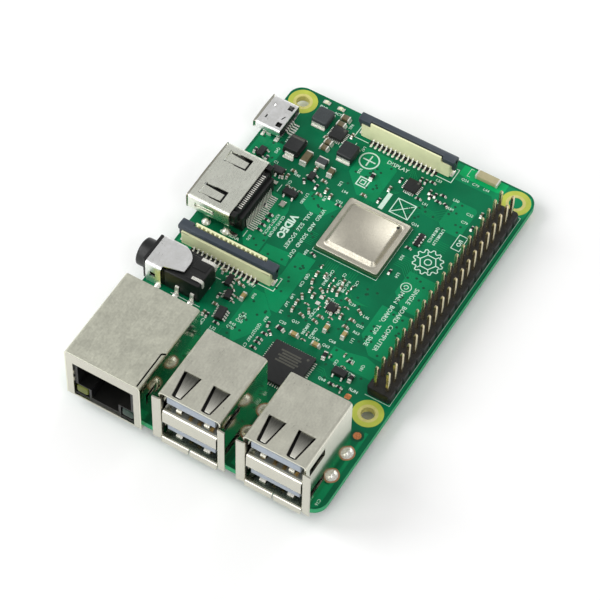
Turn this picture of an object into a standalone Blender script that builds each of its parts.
"""A single board computer: a green circuit board with its chips, connectors and pin header.

Every part is drawn in the board's own drawing frame and hangs from one empty. In that frame X runs
from the display connector end to the USB end, Y from the video and power edge to the pin header
edge, and Z up from the board's top face. Sizes in the constants are millimetres.
"""

import math

import bmesh
import bpy
from mathutils import Matrix, Vector

MM = 0.001
GAP = 0.1  # solder film or running clearance between two neighbours

# Circuit board
BOARD_LENGTH = 85.0
BOARD_WIDTH = 56.0
BOARD_THICKNESS = 1.4
BOARD_CORNER = 3.0
MOUNT_HOLE_D = 2.75
MOUNT_HOLE_X = (3.5, 61.5)
MOUNT_HOLE_Y = (3.5, 52.5)
TAIL = 1.6  # how far the soldered pins stand out under the board
TAIL_TIP = 0.2 - BOARD_THICKNESS - TAIL  # lowest point of the shells' legs

# Pin header
PIN_PITCH = 2.54
PIN_SIDE = 0.64
PIN_COLUMNS = 20
PIN_START_X = 8.37
PIN_ROWS_Y = (51.23, 53.77)
PIN_TOP = 8.5
PIN_TIP = 0.35
PIN_TIP_SHARE = 0.45  # width of the flat tip over the pin's side
PIN_DRILL_D = 1.1
HEADER_BASE_HEIGHT = 2.5
HEADER_EDGE = 0.25

# Stacked USB sockets, drawn from the back face of the shell
USB_BACK_X = 70.05
USB_CENTRES_Y = (29.0, 47.0)
USB_DEPTH = 16.35
USB_WIDTH = 12.6
USB_HEIGHT = 15.43
USB_WALL = 0.35
USB_FLANGE = 1.5
USB_FLANGE_REACH = 0.5
USB_FLOOR = 1.7
USB_DIVIDER_Z = (6.15, 9.85)
USB_TONGUE_Z = ((4.5, 6.0), (12.3, 14.2))
USB_TONGUE_WIDTH = 10.4
USB_TONGUE_SETBACK = 0.7  # from the shell's front
USB_INSERT_DEPTH = 8.0  # rear block that the tongues stand out of
USB_FLANGE_Z = (0.9, 14.0)
USB_TAB_X = (1.0, 6.68)
USB_DIVIDER_WALL = 0.3

# Ethernet socket, drawn from the back face of the shell
ETHERNET_BACK_X = 66.03
ETHERNET_CENTRE_Y = 10.25
ETHERNET_DEPTH = 20.75
ETHERNET_WIDTH = 15.9
ETHERNET_HEIGHT = 13.46
ETHERNET_WALL = 0.35
ETHERNET_TAB_X = 12.0
ETHERNET_WINDOW_Y = (-6.6, 6.7)
ETHERNET_WINDOW_Z = (0.6, 10.6)
ETHERNET_PEG = (9.0, 5.7)  # from the back, and to each side of the centre line
ETHERNET_PEG_R = 1.55
ETHERNET_PEG_DRILL_R = 1.7
ETHERNET_CORE_X = (1.4, 7.2)  # pocket for the transformer block
ETHERNET_CORE_HALF = 6.4
ETHERNET_CORE_TOP = 11.6
ETHERNET_LAMP_Y = (3.5, 6.6)  # to each side of the centre line
ETHERNET_LAMP_Z = (0.9, 3.7)
ETHERNET_LAMP_DEPTH = 3.0
PLUG_WIDTH = 11.7
PLUG_Z = (3.9, 10.5)
PLUG_DEPTH = 12.4
LATCH_HALF = 3.0
LATCH_FLOOR = 1.3
LATCH_DEPTH = 8.5

# Video socket, drawn from the board's edge
VIDEO_CENTRE_X = 32.0
VIDEO_WIDTH = 14.9
VIDEO_TOP = 5.83
VIDEO_FRONT_Y = -1.35
VIDEO_BACK_Y = 8.33
VIDEO_INSERT_BACK_Y = 10.35
VIDEO_INSERT_TOP = 5.3
VIDEO_FLOOR = 0.7
VIDEO_SHOULDER_Z = 2.5
VIDEO_SHOULDER = 1.8  # how far each side comes in below the shoulder
VIDEO_WALL = 0.35
VIDEO_LEG_Y = (3.0, 7.6)
VIDEO_LEG_LENGTH = 1.2
VIDEO_LEG_TOP = 3.2
VIDEO_TONGUE_HALF = 5.4
VIDEO_TONGUE_Z = (3.0, 4.1)
VIDEO_TONGUE_SETBACK = 0.8
VIDEO_CORE_Y = 4.8
VIDEO_CORE_Z = 1.3

# Power socket, drawn from the board's edge
POWER_CENTRE_X = 10.9
POWER_WIDTH = 7.5
POWER_TOP = 2.75
POWER_FRONT_Y = -1.1
POWER_BACK_Y = 4.7
POWER_FLOOR = 0.35
POWER_SHOULDER_Z = 1.3
POWER_SHOULDER = 0.9
POWER_WALL = 0.25
POWER_LEG_Y = 2.1
POWER_LEG_LENGTH = 1.0
POWER_LEG_TOP = 1.7
POWER_CORE_HALF = 2.6
POWER_CORE_Y = 2.4
POWER_CORE_Z = (0.75, 2.35)
POWER_TONGUE_HALF = 1.9
POWER_TONGUE_Z = (1.45, 2.05)
POWER_TONGUE_SETBACK = 0.6

# Audio socket, drawn from the board's edge
AUDIO_CENTRE_X = 53.7
AUDIO_AXIS_Z = 3.05
AUDIO_BARREL_R = 2.9
AUDIO_BORE_R = 1.8
AUDIO_REACH = 2.5
AUDIO_BACK_Y = 12.2
AUDIO_BODY_HALF = 3.2
AUDIO_BODY_Y = 0.3
AUDIO_BODY_TOP = 5.2
AUDIO_FLANGE_HALF = 3.45
AUDIO_FLANGE_Y = (-0.3, 0.4)
AUDIO_FLANGE_TOP = 6.05
AUDIO_BORE_DEPTH = 11.0
AUDIO_PEGS = ((0.0, 3.2), (0.0, 9.6))
AUDIO_PEG_R = 0.55
AUDIO_PEG_DRILL_R = 0.7
SADDLE_HALF = 3.5
SADDLE_Y = (0.55, 3.9, 8.25)  # front edge, end of the sides, tip of the tongue
SADDLE_TOP = 5.75
SADDLE_SHEET = 0.3
SADDLE_SIDE_SHEET = 0.2
SADDLE_TONGUE_X = (2.75, 1.9, -0.1)  # corners of the tongue, root to tip
SADDLE_ARC = ((-3.5, 8.6), 4.0, -22, -66)  # centre, radius and angles of the tongue's hollow side

# Flat cable connectors, drawn about their middle with the comb wall at -X
RIBBON_HALF = 10.1
RIBBON_COMB_HALF = 8.05
RIBBON_X = (-1.27, 1.28)
RIBBON_BASE_TOP = 3.55
RIBBON_COMB_TOP = 5.0
RIBBON_COMB_WALL_X = -0.55
RIBBON_SLOT_X = (-0.45, 0.35)
RIBBON_SLOT_FLOOR = 0.8
ACTUATOR_HALF = 10.95
ACTUATOR_Z = (3.65, 4.9)
ACTUATOR_BAR_X = (-0.45, 1.0)
ACTUATOR_ARM_X = (-1.1, 0.5)
ACTUATOR_LEG_X = (-0.5, 0.6)
ACTUATOR_LEG_Z = 1.8
ACTUATOR_BLADE_X = (-0.3, 0.15)
ACTUATOR_BLADE_Z = 1.3
ACTUATOR_PLAY = 0.15  # between each arm and the comb wall's end
CAMERA_PLACE = (45.08, 11.65)
DISPLAY_PLACE = (3.67, 28.0)

# Memory card socket, under the board
CARD_X = (1.0, 15.4)
CARD_HALF = 7.1
CARD_COVER_HEIGHT = 1.4
CARD_SHEET = 0.2
CARD_SPACE_HALF = 5.6
CARD_SPACE_END = 2.2  # left at the back of the bed
CARD_SPACE_ROOF = 0.35

# Chips and other block parts: name, finish, centre, size and edge width
PROCESSOR_PLACE = (26.9, 31.3)
SUBSTRATE_SIZE = (14.2, 14.2, 0.45)
LID_SIDE = 13.8
LID_STEPS = (0.45, 0.95, 0.85)  # rim height, rim width and rise of the raised middle
TOP_PARTS = (
    ("usb_ethernet_chip", "chip_black", (60.9, 33.9), (8.8, 8.8, 0.85), 0.06),
    ("core_regulator_chip", "chip_black", (44.4, 34.6), (2.2, 1.9, 0.6), 0.06),
    ("power_switch_chip", "chip_black", (7.3, 14.0), (3.0, 3.0, 0.85), 0.06),
    ("display_signal_chip", "chip_black", (10.9, 33.2), (2.8, 2.8, 0.8), 0.06),
    ("header_regulator", "chip_black", (56.7, 43.5), (1.6, 2.9, 1.0), 0.06),
    ("video_power_switch", "chip_black", (21.6, 8.6), (1.6, 2.6, 1.0), 0.06),
    ("chip_antenna", "ceramic_white", (1.5, 45.1), (1.8, 5.2, 1.0), 0.06),
    ("power_inductor_1", "ferrite", (5.7, 9.55), (3.9, 3.6, 1.95), 0.35),
    ("power_inductor_2", "ferrite", (10.7, 18.3), (3.9, 3.6, 1.95), 0.35),
    ("filter_inductor", "ferrite", (15.3, 15.0), (2.0, 2.2, 1.1), 0.15),
    ("bulk_capacitor_1", "ceramic_brown", (15.9, 11.75), (3.2, 1.5, 1.0), 0.06),
    ("bulk_capacitor_2", "ceramic_brown", (16.4, 17.75), (1.9, 1.2, 0.9), 0.06),
    ("bulk_capacitor_3", "ceramic_brown", (3.1, 13.3), (1.2, 1.9, 0.9), 0.06),
    ("bulk_capacitor_4", "ceramic_brown", (4.95, 13.3), (1.2, 1.9, 0.9), 0.06),
    ("bulk_capacitor_5", "ceramic_brown", (10.2, 13.4), (1.1, 1.7, 0.8), 0.06),
    ("bulk_capacitor_6", "ceramic_brown", (11.75, 13.4), (1.1, 1.7, 0.8), 0.06),
    ("power_lamp", "ceramic_white", (1.3, 7.9), (0.8, 1.6, 0.55), 0.06),
    ("activity_lamp", "ceramic_white", (1.3, 11.2), (0.8, 1.6, 0.55), 0.06),
)
UNDER_PARTS = (
    ("memory_chip", "chip_black", (27.0, 31.3), (11.6, 11.6, 0.8), 0.06),
    ("wireless_chip", "chip_black", (7.6, 43.6), (4.8, 4.4, 0.45), 0.06),
    ("input_fuse", "fuse_green", (12.0, 11.5), (4.5, 3.2, 0.7), 0.06),
    ("clock_crystal", "nickel", (47.0, 31.0), (3.2, 2.5, 0.7), 0.12),
)
DIODE_PLACE = (14.9, 8.45)
DIODE_SIZE = (4.1, 3.5, 2.0)
DIODE_TAB_HALF = (2.65, 1.0)
DIODE_TAB_HEIGHT = 0.5

# Shell tabs and the slots they stand in
TAB_HALF = 0.8
TAB_TOP = 1.0
TAB_SLOT = (1.1, 0.45)
VIDEO_LEG_SLOT = (0.45, 0.9)
POWER_LEG_SLOT = (0.4, 0.75)
DRILL_SPARE = 1.0  # how far a cutter stands out on each face

# Whole object, for putting the middle of its footprint at the origin
FRONT_X = USB_BACK_X + USB_DEPTH + USB_FLANGE_REACH
FRAME_PLACE = (-FRONT_X / 2, -(BOARD_WIDTH - AUDIO_REACH) / 2, BOARD_THICKNESS + TAIL)

# name: (colour, roughness, metallic)
FINISHES = {
    "solder_mask": ((0.02, 0.27, 0.12), 0.42, 0.0),
    "nickel": ((0.72, 0.71, 0.66), 0.34, 1.0),
    "gold": ((0.85, 0.68, 0.36), 0.3, 1.0),
    "lid_metal": ((0.66, 0.61, 0.53), 0.42, 1.0),
    "black_plastic": ((0.025, 0.025, 0.027), 0.5, 0.0),
    "slate_plastic": ((0.06, 0.07, 0.09), 0.55, 0.0),
    "beige_plastic": ((0.66, 0.62, 0.44), 0.5, 0.0),
    "blue_grey_plastic": ((0.34, 0.38, 0.44), 0.5, 0.0),
    "chip_black": ((0.03, 0.03, 0.033), 0.55, 0.0),
    "ferrite": ((0.08, 0.08, 0.085), 0.6, 0.0),
    "ceramic_brown": ((0.45, 0.31, 0.18), 0.5, 0.0),
    "ceramic_white": ((0.78, 0.74, 0.62), 0.5, 0.0),
    "laminate": ((0.02, 0.12, 0.07), 0.5, 0.0),
    "lens_yellow": ((0.6, 0.65, 0.15), 0.2, 0.0),
    "lens_green": ((0.1, 0.5, 0.35), 0.2, 0.0),
    "fuse_green": ((0.05, 0.3, 0.12), 0.5, 0.0),
}


def clear_scene():
    """Remove every object of the open scene."""
    for obj in list(bpy.data.objects):
        bpy.data.objects.remove(obj, do_unlink=True)


def make_collection(name):
    """A new collection in the scene."""
    collection = bpy.data.collections.new(name)
    bpy.context.scene.collection.children.link(collection)
    return collection


def make_material(name):
    """The Principled material of one finish."""
    known = bpy.data.materials.get(name)
    if known:
        return known
    colour, roughness, metallic = FINISHES[name]
    material = bpy.data.materials.new(name)
    material.use_nodes = True
    shader = material.node_tree.nodes["Principled BSDF"]
    shader.inputs["Base Color"].default_value = (*colour, 1.0)
    shader.inputs["Roughness"].default_value = roughness
    shader.inputs["Metallic"].default_value = metallic
    material.diffuse_color = (*colour, 1.0)
    return material


def mesh_of(name, shape):
    """A mesh datablock from a finished bmesh."""
    mesh = bpy.data.meshes.new(name)
    shape.to_mesh(mesh)
    shape.free()
    return mesh


def boxes(name, corners):
    """One mesh with a closed box for each pair of low and high corners, in millimetres."""
    shape = bmesh.new()
    for low, high in corners:
        low, high = Vector(low) * MM, Vector(high) * MM
        size = Matrix.Diagonal((*(high - low), 1.0))
        bmesh.ops.create_cube(shape, size=1.0, matrix=Matrix.Translation((low + high) / 2) @ size)
    return mesh_of(name, shape)


def rods(name, places, radius, segments=12, axis="Z"):
    """One mesh with a closed cylinder for each start point and length along the axis, in millimetres."""
    turn = Matrix.Rotation(-math.pi / 2, 4, "X") if axis == "Y" else Matrix.Identity(4)
    along = Vector((0.0, 1.0, 0.0)) if axis == "Y" else Vector((0.0, 0.0, 1.0))
    shape = bmesh.new()
    for start, length in places:
        middle = (Vector(start) + along * length / 2) * MM
        bmesh.ops.create_cone(
            shape,
            cap_ends=True,
            segments=segments,
            radius1=radius * MM,
            radius2=radius * MM,
            depth=length * MM,
            matrix=Matrix.Translation(middle) @ turn,
        )
    mesh = mesh_of(name, shape)
    mesh.shade_smooth()
    mesh.set_sharp_from_angle(angle=math.radians(40))
    return mesh


def stepped_box(name, size, height, inset, rise):
    """A square plate of the given side whose top steps up by the rise, inset from the edge."""
    shape = bmesh.new()
    scale = Matrix.Diagonal((size * MM, size * MM, height * MM, 1.0))
    bmesh.ops.create_cube(shape, size=1.0, matrix=Matrix.Translation((0, 0, height * MM / 2)) @ scale)
    shape.faces.ensure_lookup_table()
    top = max(shape.faces, key=lambda face: face.calc_center_median().z)
    bmesh.ops.inset_region(shape, faces=[top], thickness=inset * MM)
    raised = bmesh.ops.extrude_face_region(shape, geom=[top])
    verts = [item for item in raised["geom"] if isinstance(item, bmesh.types.BMVert)]
    bmesh.ops.translate(shape, verts=verts, vec=(0, 0, rise * MM))
    bmesh.ops.delete(shape, geom=[top], context="FACES")
    bmesh.ops.recalc_face_normals(shape, faces=shape.faces)
    return mesh_of(name, shape)


def arc(centre, radius, start, end, steps):
    """Points on a circular arc between two angles in degrees."""
    angles = [math.radians(start + (end - start) * i / steps) for i in range(steps + 1)]
    return [(centre[0] + radius * math.cos(a), centre[1] + radius * math.sin(a)) for a in angles]


def plate(name, outlines, thickness):
    """A flat outline with its holes, in the XY plane about Z = 0, as a closed mesh."""
    curve = bpy.data.curves.new(name, "CURVE")
    curve.dimensions = "2D"
    curve.fill_mode = "BOTH"
    curve.extrude = thickness * MM / 2
    for outline in outlines:
        spline = curve.splines.new("POLY")
        spline.points.add(len(outline) - 1)
        for point, (x, y) in zip(spline.points, outline):
            point.co = (x * MM, y * MM, 0.0, 1.0)
        spline.use_cyclic_u = True
    holder = bpy.data.objects.new(name, curve)
    bpy.context.scene.collection.objects.link(holder)
    graph = bpy.context.evaluated_depsgraph_get()
    mesh = bpy.data.meshes.new_from_object(holder.evaluated_get(graph))
    bpy.data.objects.remove(holder, do_unlink=True)
    shape = bmesh.new()
    shape.from_mesh(mesh)
    bmesh.ops.remove_doubles(shape, verts=shape.verts, dist=1e-6)
    bmesh.ops.recalc_face_normals(shape, faces=shape.faces)
    shape.to_mesh(mesh)
    shape.free()
    return mesh


class Workshop:
    """Places parts in the board's frame and keeps their cutters out of the way."""

    def __init__(self):
        self.parts = make_collection("single_board_computer")
        self.tools = make_collection("cutters")
        self.frame = bpy.data.objects.new("board_frame", None)
        self.frame.location = Vector(FRAME_PLACE) * MM
        self.parts.objects.link(self.frame)

    def add(self, name, mesh, finish, place=(0.0, 0.0, 0.0), turn=0.0, bevel=0.0):
        """A part with its finish, at a place in the board's frame and turned about Z."""
        part = bpy.data.objects.new(name, mesh)
        if not mesh.materials:
            mesh.materials.append(make_material(finish))
        part.parent = self.frame
        part.location = Vector(place) * MM
        part.rotation_euler = (0.0, 0.0, math.radians(turn))
        self.parts.objects.link(part)
        if bevel:
            edge = part.modifiers.new("edge", "BEVEL")
            edge.width = bevel * MM
            edge.segments = 1
            edge.limit_method = "ANGLE"
        return part

    def boolean(self, part, operation, *meshes):
        """Cut the meshes from the part, or join them to it, in the part's own frame."""
        for mesh in meshes:
            tool = bpy.data.objects.new(f"{part.name}_{mesh.name}", mesh)
            tool.parent = part
            tool.hide_render = True
            tool.display_type = "WIRE"
            self.tools.objects.link(tool)
            step = part.modifiers.new(mesh.name, "BOOLEAN")
            step.operation = operation
            step.solver = "EXACT"
            step.object = tool

    def chip(self, name, finish, centre, size, under=False, bevel=0.06):
        """A block part lying on the board, or hanging under it, by its centre and size."""
        x, y = centre
        length, width, height = size
        z = -BOARD_THICKNESS - GAP - height if under else GAP
        low = (-length / 2, -width / 2, 0.0)
        high = (length / 2, width / 2, height)
        return self.add(name, boxes(name, [(low, high)]), finish, (x, y, z), bevel=bevel)


def header_pin_places():
    """Centres of the header's pins in the board's frame."""
    columns = [PIN_START_X + PIN_PITCH * i for i in range(PIN_COLUMNS)]
    return [(x, y) for x in columns for y in PIN_ROWS_Y]


def usb_tab_places():
    """Centres of the USB shells' tabs, from the shell's back and centre line."""
    return [(x, side * (USB_WIDTH / 2 - USB_WALL / 2)) for x in USB_TAB_X for side in (-1, 1)]


def ethernet_tab_places():
    """Centres of the Ethernet shield's tabs, from its back and centre line."""
    y = ETHERNET_WIDTH / 2 - ETHERNET_WALL / 2
    return [(ETHERNET_TAB_X, -y), (ETHERNET_TAB_X, y)]


def ethernet_peg_places():
    """Centres of the Ethernet housing's locating pegs, from the shell's back and centre line."""
    x, y = ETHERNET_PEG
    return [(x, -y), (x, y)]


def video_leg_places():
    """Centres of the video shell's legs, from its centre line and the board's edge."""
    x = (VIDEO_WIDTH - VIDEO_WALL) / 2
    return [(side * x, y) for side in (-1, 1) for y in VIDEO_LEG_Y]


def power_leg_places():
    """Centres of the power shell's legs, from its centre line and the board's edge."""
    x = (POWER_WIDTH - POWER_WALL) / 2
    return [(side * x, POWER_LEG_Y) for side in (-1, 1)]


def shell_tabs(places, wall):
    """Corners of a shell's tabs, from its side walls down through the board."""
    low, half = TAIL_TIP, wall / 2
    return [((x - TAB_HALF, y - half, low), (x + TAB_HALF, y + half, TAB_TOP)) for x, y in places]


def shifted(places, origin):
    """The places moved by an origin in the board's frame."""
    return [(x + origin[0], y + origin[1]) for x, y in places]


def build_board(shop):
    """The bare board with its mounting holes, pin drills and the slots for the shells' legs."""
    reach_x, reach_y = BOARD_LENGTH - BOARD_CORNER, BOARD_WIDTH - BOARD_CORNER
    outline = (
        arc((BOARD_CORNER, BOARD_CORNER), BOARD_CORNER, 180, 270, 5)
        + arc((reach_x, BOARD_CORNER), BOARD_CORNER, 270, 360, 5)
        + arc((reach_x, reach_y), BOARD_CORNER, 0, 90, 5)
        + arc((BOARD_CORNER, reach_y), BOARD_CORNER, 90, 180, 5)
    )
    mesh = plate("circuit_board", [outline], BOARD_THICKNESS)
    board = shop.add("circuit_board", mesh, "solder_mask", (0, 0, -BOARD_THICKNESS / 2))
    depth = BOARD_THICKNESS + 2 * DRILL_SPARE
    low = -depth / 2

    def drills(name, places, radius, segments):
        return rods(name, [((x, y, low), depth) for x, y in places], radius, segments)

    mounts = [(x, y) for x in MOUNT_HOLE_X for y in MOUNT_HOLE_Y]
    shop.boolean(board, "DIFFERENCE", drills("mount_holes", mounts, MOUNT_HOLE_D / 2, 24))
    pins = header_pin_places()
    shop.boolean(board, "DIFFERENCE", drills("pin_holes", pins, PIN_DRILL_D / 2, 8))
    pegs = shifted(ethernet_peg_places(), (ETHERNET_BACK_X, ETHERNET_CENTRE_Y))
    shop.boolean(board, "DIFFERENCE", drills("ethernet_holes", pegs, ETHERNET_PEG_DRILL_R, 12))
    audio = shifted(AUDIO_PEGS, (AUDIO_CENTRE_X, 0.0))
    shop.boolean(board, "DIFFERENCE", drills("audio_holes", audio, AUDIO_PEG_DRILL_R, 8))
    legs = [(usb_tab_places(), (USB_BACK_X, centre_y), TAB_SLOT) for centre_y in USB_CENTRES_Y]
    legs.append((ethernet_tab_places(), (ETHERNET_BACK_X, ETHERNET_CENTRE_Y), TAB_SLOT))
    legs.append((video_leg_places(), (VIDEO_CENTRE_X, 0.0), VIDEO_LEG_SLOT))
    legs.append((power_leg_places(), (POWER_CENTRE_X, 0.0), POWER_LEG_SLOT))
    corners = []
    for places, origin, (a, b) in legs:
        corners += [((x - a, y - b, low), (x + a, y + b, -low)) for x, y in shifted(places, origin)]
    shop.boolean(board, "DIFFERENCE", boxes("leg_slots", corners))


def build_header(shop):
    """The two-row pin header: the base strip and its pins as one piece."""
    length, width = PIN_COLUMNS * PIN_PITCH, 2 * PIN_PITCH
    middle_x = PIN_START_X + PIN_PITCH * (PIN_COLUMNS - 1) / 2
    middle_y = sum(PIN_ROWS_Y) / 2
    low = (-length / 2, -width / 2, GAP)
    high = (length / 2, width / 2, GAP + HEADER_BASE_HEIGHT)
    base = boxes("gpio_header", [(low, high)])
    place = (middle_x, middle_y, 0.0)
    header = shop.add("gpio_header", base, "black_plastic", place, bevel=HEADER_EDGE)
    shape = bmesh.new()
    bottom, shoulder = -BOARD_THICKNESS - TAIL, PIN_TOP - PIN_TIP
    for x, y in header_pin_places():
        centre = Vector((x - middle_x, y - middle_y, (bottom + shoulder) / 2)) * MM
        size = Matrix.Diagonal((PIN_SIDE * MM, PIN_SIDE * MM, (shoulder - bottom) * MM, 1.0))
        made = bmesh.ops.create_cube(shape, size=1.0, matrix=Matrix.Translation(centre) @ size)
        faces = {face for vert in made["verts"] for face in vert.link_faces}
        top = max(faces, key=lambda face: face.calc_center_median().z)
        raised = bmesh.ops.extrude_discrete_faces(shape, faces=[top])["faces"][0]
        middle = raised.calc_center_median() + Vector((0, 0, PIN_TIP * MM))
        for vert in raised.verts:
            vert.co = middle + (vert.co - raised.calc_center_median()) * PIN_TIP_SHARE
    bmesh.ops.remove_doubles(shape, verts=shape.verts, dist=1e-7)
    shop.boolean(header, "UNION", mesh_of("pins", shape))


def build_chips(shop):
    """The processor under its metal lid, and the chips, coils, capacitors and lamps on both faces."""
    shop.chip("processor_substrate", "laminate", PROCESSOR_PLACE, SUBSTRATE_SIZE, bevel=0.0)
    lid = stepped_box("processor_lid", LID_SIDE, *LID_STEPS)
    shop.add("processor_lid", lid, "lid_metal", (*PROCESSOR_PLACE, 2 * GAP + SUBSTRATE_SIZE[2]))
    for name, finish, centre, size, edge in TOP_PARTS:
        shop.chip(name, finish, centre, size, bevel=edge)
    for name, finish, centre, size, edge in UNDER_PARTS:
        shop.chip(name, finish, centre, size, under=True, bevel=edge)
    diode = shop.chip("input_diode", "chip_black", DIODE_PLACE, DIODE_SIZE, bevel=0.2)
    x, y = DIODE_TAB_HALF
    shop.boolean(diode, "UNION", boxes("tabs", [((-x, -y, 0.0), (x, y, DIODE_TAB_HEIGHT))]))


def build_usb(shop, index, centre_y):
    """One stacked pair of USB sockets: the shell, the contact insert and the bar between the ports."""
    place = (USB_BACK_X, centre_y, 0.0)
    half, wall = USB_WIDTH / 2, USB_WALL
    front = USB_DEPTH
    name = f"usb_pair_{index}"
    block = boxes(f"{name}_shell", [((0, -half, GAP), (front, half, USB_HEIGHT))])
    shell = shop.add(f"{name}_shell", block, "nickel", place)
    low, high = USB_FLANGE_Z
    root, tip = front - 0.3, front + USB_FLANGE_REACH
    flanges = []
    for side in (-1, 1):
        near, far = sorted((side * (half - 0.05), side * (half + USB_FLANGE)))
        flanges.append(((root, near, low), (tip, far, high)))
    lip = ((root, 0.2 - half, GAP), (tip, half - 0.2, USB_FLOOR))
    shop.boolean(shell, "UNION", boxes("side_flanges", flanges), boxes("front_lip", [lip]))
    shop.boolean(shell, "UNION", boxes("solder_tabs", shell_tabs(usb_tab_places(), wall)))
    mouth = ((wall, wall - half, USB_FLOOR), (tip + 1, half - wall, USB_HEIGHT - wall))
    below = ((wall, wall - half, -1), (front - 0.5, half - wall, USB_FLOOR - wall))
    shop.boolean(shell, "DIFFERENCE", boxes("mouth", [mouth]), boxes("below", [below]))

    inner = half - wall - GAP
    back = USB_INSERT_DEPTH
    rear = ((wall + GAP, -inner, USB_FLOOR + GAP), (back, inner, USB_HEIGHT - wall - GAP))
    insert = shop.add(f"{name}_insert", boxes(f"{name}_insert", [rear]), "blue_grey_plastic", place)
    reach = USB_TONGUE_WIDTH / 2
    nose = front - USB_TONGUE_SETBACK
    tongues = [((back - 0.5, -reach, low), (nose, reach, high)) for low, high in USB_TONGUE_Z]
    shop.boolean(insert, "UNION", boxes("tongues", tongues))

    low, high = USB_DIVIDER_Z
    bar = ((back + GAP, -inner, low), (front, inner, high))
    divider = shop.add(f"{name}_divider", boxes(f"{name}_divider", [bar]), "nickel", place)
    wall = USB_DIVIDER_WALL
    hollow = ((back - 1, wall - inner, low + wall), (front - wall, inner - wall, high - wall))
    shop.boolean(divider, "DIFFERENCE", boxes("hollow", [hollow]))


def build_ethernet(shop):
    """The Ethernet socket: shield, housing with its plug cavity, transformer block and two lamps."""
    place = (ETHERNET_BACK_X, ETHERNET_CENTRE_Y, 0.0)
    half, wall, front = ETHERNET_WIDTH / 2, ETHERNET_WALL, ETHERNET_DEPTH
    block = boxes("ethernet_shell", [((0, -half, GAP), (front, half, ETHERNET_HEIGHT))])
    shell = shop.add("ethernet_shell", block, "nickel", place, bevel=0.25)
    inside = ((wall, wall - half, -1), (front - wall, half - wall, ETHERNET_HEIGHT - wall))
    (low_y, high_y), (low_z, high_z) = ETHERNET_WINDOW_Y, ETHERNET_WINDOW_Z
    window = ((front - 1, low_y, low_z), (front + 1, high_y, high_z))
    shop.boolean(shell, "DIFFERENCE", boxes("inside", [inside]), boxes("window", [window]))
    shop.boolean(shell, "UNION", boxes("solder_tabs", shell_tabs(ethernet_tab_places(), wall)))

    inner = half - wall - GAP
    face = front - wall - GAP
    solid = ((wall + GAP, -inner, 2 * GAP), (face, inner, ETHERNET_HEIGHT - wall - GAP))
    housing = shop.add("ethernet_housing", boxes("ethernet_housing", [solid]), "black_plastic", place)
    pegs = [((x, y, -1.2), 2.0) for x, y in ethernet_peg_places()]
    shop.boolean(housing, "UNION", rods("pegs", pegs, ETHERNET_PEG_R, 12))
    plug = ((front - PLUG_DEPTH, -PLUG_WIDTH / 2, PLUG_Z[0]), (front + 1, PLUG_WIDTH / 2, PLUG_Z[1]))
    latch = ((front - LATCH_DEPTH, -LATCH_HALF, LATCH_FLOOR), (front + 1, LATCH_HALF, PLUG_Z[0] + 0.2))
    (near_x, far_x), side_y, top = ETHERNET_CORE_X, ETHERNET_CORE_HALF, ETHERNET_CORE_TOP
    lamp_back = face - ETHERNET_LAMP_DEPTH
    low, high = ETHERNET_LAMP_Z
    sides = [sorted(side * y for y in ETHERNET_LAMP_Y) for side in (-1, 1)]
    shop.boolean(
        housing,
        "DIFFERENCE",
        boxes("plug_cavity", [plug]),
        boxes("latch_notch", [latch]),
        boxes("lamp_pockets", [((lamp_back, a, low), (front + 1, b, high)) for a, b in sides]),
        boxes("core_pocket", [((near_x, -side_y, -1), (far_x, side_y, top))]),
    )
    corner = (far_x - GAP, side_y - GAP, top - GAP)
    block = boxes("ethernet_transformer", [((near_x + GAP, GAP - side_y, 3 * GAP), corner)])
    shop.add("ethernet_transformer", block, "ferrite", place)
    lamps = (("ethernet_link_lamp", "lens_yellow"), ("ethernet_traffic_lamp", "lens_green"))
    for (name, finish), (a, b) in zip(lamps, sides):
        lens = ((lamp_back + GAP, a + GAP, low + GAP), (face, b - GAP, high - GAP))
        shop.add(name, boxes(name, [lens]), finish, place)


def tube(name, outline, wall, length):
    """A sheet tube about the Y axis: a closed outline in XZ and the same outline moved in by its wall."""
    centre_x = sum(x for x, _ in outline) / len(outline)
    low = min(z for _, z in outline)
    high = max(z for _, z in outline)
    half = max(x for x, _ in outline) - centre_x
    middle = (low + high) / 2
    shrink_x = (half - wall) / half
    shrink_z = ((high - low) / 2 - wall) / ((high - low) / 2)
    inner = [(x * shrink_x, middle + (z - middle) * shrink_z) for x, z in outline]
    mesh = plate(name, [outline, inner], length)
    mesh.transform(Matrix.Rotation(math.pi / 2, 4, "X"))
    return mesh


def socket_outline(half, floor, shoulder_z, shoulder, top):
    """A socket's section in XZ: a flat top, upright sides, and a narrower floor under two slopes."""
    left = [(-half, top), (-half, shoulder_z), (shoulder - half, floor)]
    return left + [(-x, z) for x, z in reversed(left)]


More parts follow.
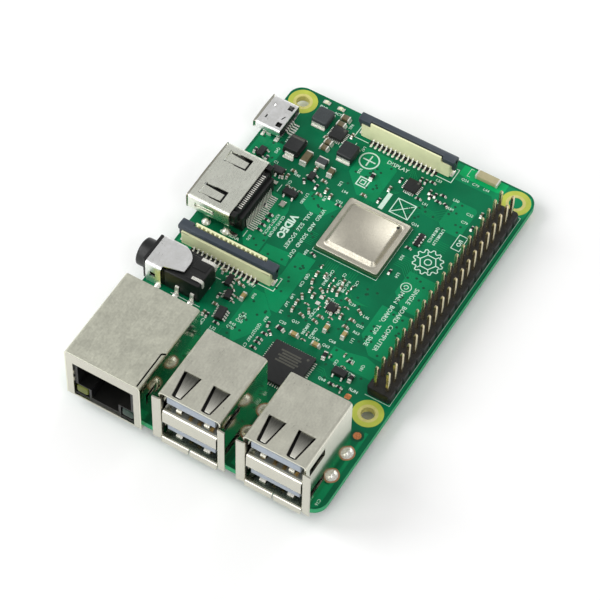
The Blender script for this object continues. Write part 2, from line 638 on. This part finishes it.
def build_video(shop):
    """The video socket: a D-shaped shell on four legs, and its contact insert with the rear block."""
    half = VIDEO_WIDTH / 2
    outline = socket_outline(half, VIDEO_FLOOR, VIDEO_SHOULDER_Z, VIDEO_SHOULDER, VIDEO_TOP)
    length = VIDEO_BACK_Y - VIDEO_FRONT_Y
    shell_mesh = tube("video_shell", outline, VIDEO_WALL, length)
    shell_mesh.transform(Matrix.Translation((0, (VIDEO_FRONT_Y + length / 2) * MM, 0)))
    place = (VIDEO_CENTRE_X, 0.0, 0.0)
    shell = shop.add("video_shell", shell_mesh, "nickel", place)
    a, b = VIDEO_WALL / 2, VIDEO_LEG_LENGTH / 2
    legs = [((x - a, y - b, TAIL_TIP), (x + a, y + b, VIDEO_LEG_TOP)) for x, y in video_leg_places()]
    shop.boolean(shell, "UNION", boxes("legs", legs))
    back = ((-half, VIDEO_BACK_Y + GAP, GAP), (half, VIDEO_INSERT_BACK_Y, VIDEO_INSERT_TOP))
    insert = shop.add("video_insert", boxes("video_insert", [back]), "black_plastic", place, bevel=0.15)
    reach, (low, high) = VIDEO_TONGUE_HALF, VIDEO_TONGUE_Z
    roof = VIDEO_TOP - VIDEO_WALL - 2 * GAP
    core = ((-reach, VIDEO_CORE_Y, VIDEO_CORE_Z), (reach, VIDEO_BACK_Y + 1, roof))
    tongue = ((-reach, VIDEO_FRONT_Y + VIDEO_TONGUE_SETBACK, low), (reach, VIDEO_CORE_Y + 0.7, high))
    shop.boolean(insert, "UNION", boxes("core", [core]), boxes("tongue", [tongue]))


def build_power(shop):
    """The power socket: a small shell on two legs, and its contact insert."""
    half = POWER_WIDTH / 2
    outline = socket_outline(half, POWER_FLOOR, POWER_SHOULDER_Z, POWER_SHOULDER, POWER_TOP)
    length = POWER_BACK_Y - POWER_FRONT_Y
    mesh = tube("power_shell", outline, POWER_WALL, length)
    mesh.transform(Matrix.Translation((0, (POWER_FRONT_Y + length / 2) * MM, 0)))
    place = (POWER_CENTRE_X, 0.0, 0.0)
    shell = shop.add("power_shell", mesh, "nickel", place)
    a, b, bottom = POWER_WALL / 2, POWER_LEG_LENGTH / 2, TAIL_TIP + 0.3
    legs = [((x - a, y - b, bottom), (x + a, y + b, POWER_LEG_TOP)) for x, y in power_leg_places()]
    shop.boolean(shell, "UNION", boxes("legs", legs))
    reach, (low, high) = POWER_CORE_HALF, POWER_CORE_Z
    core = ((-reach, POWER_CORE_Y, low), (reach, POWER_BACK_Y - GAP, high))
    insert = shop.add("power_insert", boxes("power_insert", [core]), "black_plastic", place)
    reach, (low, high) = POWER_TONGUE_HALF, POWER_TONGUE_Z
    tongue = ((-reach, POWER_FRONT_Y + POWER_TONGUE_SETBACK, low), (reach, POWER_CORE_Y + 0.2, high))
    shop.boolean(insert, "UNION", boxes("tongue", [tongue]))


def build_audio(shop):
    """The audio socket: the black body with its barrel and bore, and the metal saddle over it."""
    place = (AUDIO_CENTRE_X, 0.0, 0.0)
    half = AUDIO_BODY_HALF
    block = boxes("audio_body", [((-half, AUDIO_BODY_Y, GAP), (half, AUDIO_BACK_Y, AUDIO_BODY_TOP))])
    body = shop.add("audio_body", block, "black_plastic", place)
    half, (near, far) = AUDIO_FLANGE_HALF, AUDIO_FLANGE_Y
    flange = boxes("flange", [((-half, near, GAP), (half, far, AUDIO_FLANGE_TOP))])
    mouth = (0, -AUDIO_REACH, AUDIO_AXIS_Z)
    barrel = rods("barrel", [(mouth, AUDIO_REACH)], AUDIO_BARREL_R, 32, "Y")
    pegs = rods("pegs", [((x, y, -1.2), 2.0) for x, y in AUDIO_PEGS], AUDIO_PEG_R, 8)
    shop.boolean(body, "UNION", flange, barrel, pegs)
    ahead = (0, -AUDIO_REACH - 1, AUDIO_AXIS_Z)
    bore = rods("bore", [(ahead, AUDIO_BORE_DEPTH + 1)], AUDIO_BORE_R, 24, "Y")
    shop.boolean(body, "DIFFERENCE", bore)

    half, (near, shoulder, tip) = SADDLE_HALF, SADDLE_Y
    root, right, left = SADDLE_TONGUE_X
    outline = [(-half, near), (half, near), (half, shoulder), (root, shoulder + 0.1)]
    outline += [(right, tip), (left, tip)]
    outline += arc(*SADDLE_ARC, 4)
    outline += [(-half, shoulder)]
    mesh = plate("audio_saddle", [outline], SADDLE_SHEET)
    mesh.transform(Matrix.Translation((0, 0, (SADDLE_TOP - SADDLE_SHEET / 2) * MM)))
    saddle = shop.add("audio_saddle", mesh, "nickel", place)
    sides = []
    for side in (-1, 1):
        low, high = sorted((side * half, side * (half - SADDLE_SIDE_SHEET)))
        sides.append(((low, near, GAP), (high, shoulder, SADDLE_TOP - 0.1)))
    shop.boolean(saddle, "UNION", boxes("sides", sides))


def build_ribbon(shop, name, place, turn):
    """A flat cable connector: the housing with its slot, and the actuator that slides up on it."""
    low_x, high_x = RIBBON_X
    half, comb = RIBBON_HALF, RIBBON_COMB_HALF
    base = boxes(f"{name}_housing", [((low_x, -half, GAP), (high_x, half, RIBBON_BASE_TOP))])
    at = (*place, 0.0)
    housing = shop.add(f"{name}_housing", base, "beige_plastic", at, turn)
    wall = ((low_x, -comb, RIBBON_BASE_TOP - 0.5), (RIBBON_COMB_WALL_X, comb, RIBBON_COMB_TOP))
    shop.boolean(housing, "UNION", boxes("comb_wall", [wall]))
    near, far = RIBBON_SLOT_X
    slot = ((near, -comb, RIBBON_SLOT_FLOOR), (far, comb, RIBBON_BASE_TOP + 1))
    shop.boolean(housing, "DIFFERENCE", boxes("slot", [slot]))

    low, high = ACTUATOR_Z
    reach, inner = ACTUATOR_HALF, comb + ACTUATOR_PLAY
    near, far = ACTUATOR_BAR_X
    bar = boxes(f"{name}_actuator", [((near, -reach, low), (far, reach, high))])
    actuator = shop.add(f"{name}_actuator", bar, "slate_plastic", at, turn)
    near, far = ACTUATOR_ARM_X
    arms = [((near, -reach, low), (far, -inner, high)), ((near, inner, low), (far, reach, high))]
    near, far = ACTUATOR_LEG_X
    root = low + 0.2
    legs = [
        ((near, -reach, ACTUATOR_LEG_Z), (far, -half - GAP, root)),
        ((near, half + GAP, ACTUATOR_LEG_Z), (far, reach, root)),
    ]
    near, far = ACTUATOR_BLADE_X
    blade = ((near, 0.3 - comb, ACTUATOR_BLADE_Z), (far, comb - 0.3, root))
    shop.boolean(actuator, "UNION", boxes("arms", arms), boxes("legs", legs), boxes("blade", [blade]))


def build_card_socket(shop):
    """The memory card socket under the board: a plastic bed and the metal cover that holds the card."""
    place = (0.0, BOARD_WIDTH / 2, -BOARD_THICKNESS - GAP)
    (low_x, high_x), half = CARD_X, CARD_HALF
    sheet, cover = CARD_SHEET, CARD_COVER_HEIGHT
    outside = boxes("card_cover", [((low_x, -half, -cover), (high_x, half, 0.0))])
    shell = shop.add("card_cover", outside, "nickel", place)
    channel = ((low_x - 1, sheet - half, sheet - cover), (high_x + 1, half - sheet, 1.0))
    shop.boolean(shell, "DIFFERENCE", boxes("channel", [channel]))
    inner = half - sheet - GAP
    bed = ((low_x + 0.3, -inner, sheet + GAP - cover), (high_x - 0.2, inner, 0.0))
    tray = shop.add("card_bed", boxes("card_bed", [bed]), "black_plastic", place)
    reach, end = CARD_SPACE_HALF, high_x - CARD_SPACE_END
    card = ((low_x - 1, -reach, -cover), (end, reach, -CARD_SPACE_ROOF))
    shop.boolean(tray, "DIFFERENCE", boxes("card_space", [card]))


def main():
    """Build every sub-part of the computer."""
    clear_scene()
    shop = Workshop()
    build_board(shop)
    build_header(shop)
    build_chips(shop)
    for index, centre_y in enumerate(USB_CENTRES_Y, 1):
        build_usb(shop, index, centre_y)
    build_ethernet(shop)
    build_video(shop)
    build_power(shop)
    build_audio(shop)
    build_ribbon(shop, "camera_connector", CAMERA_PLACE, 0.0)
    build_ribbon(shop, "display_connector", DISPLAY_PLACE, 180.0)
    build_card_socket(shop)


main()
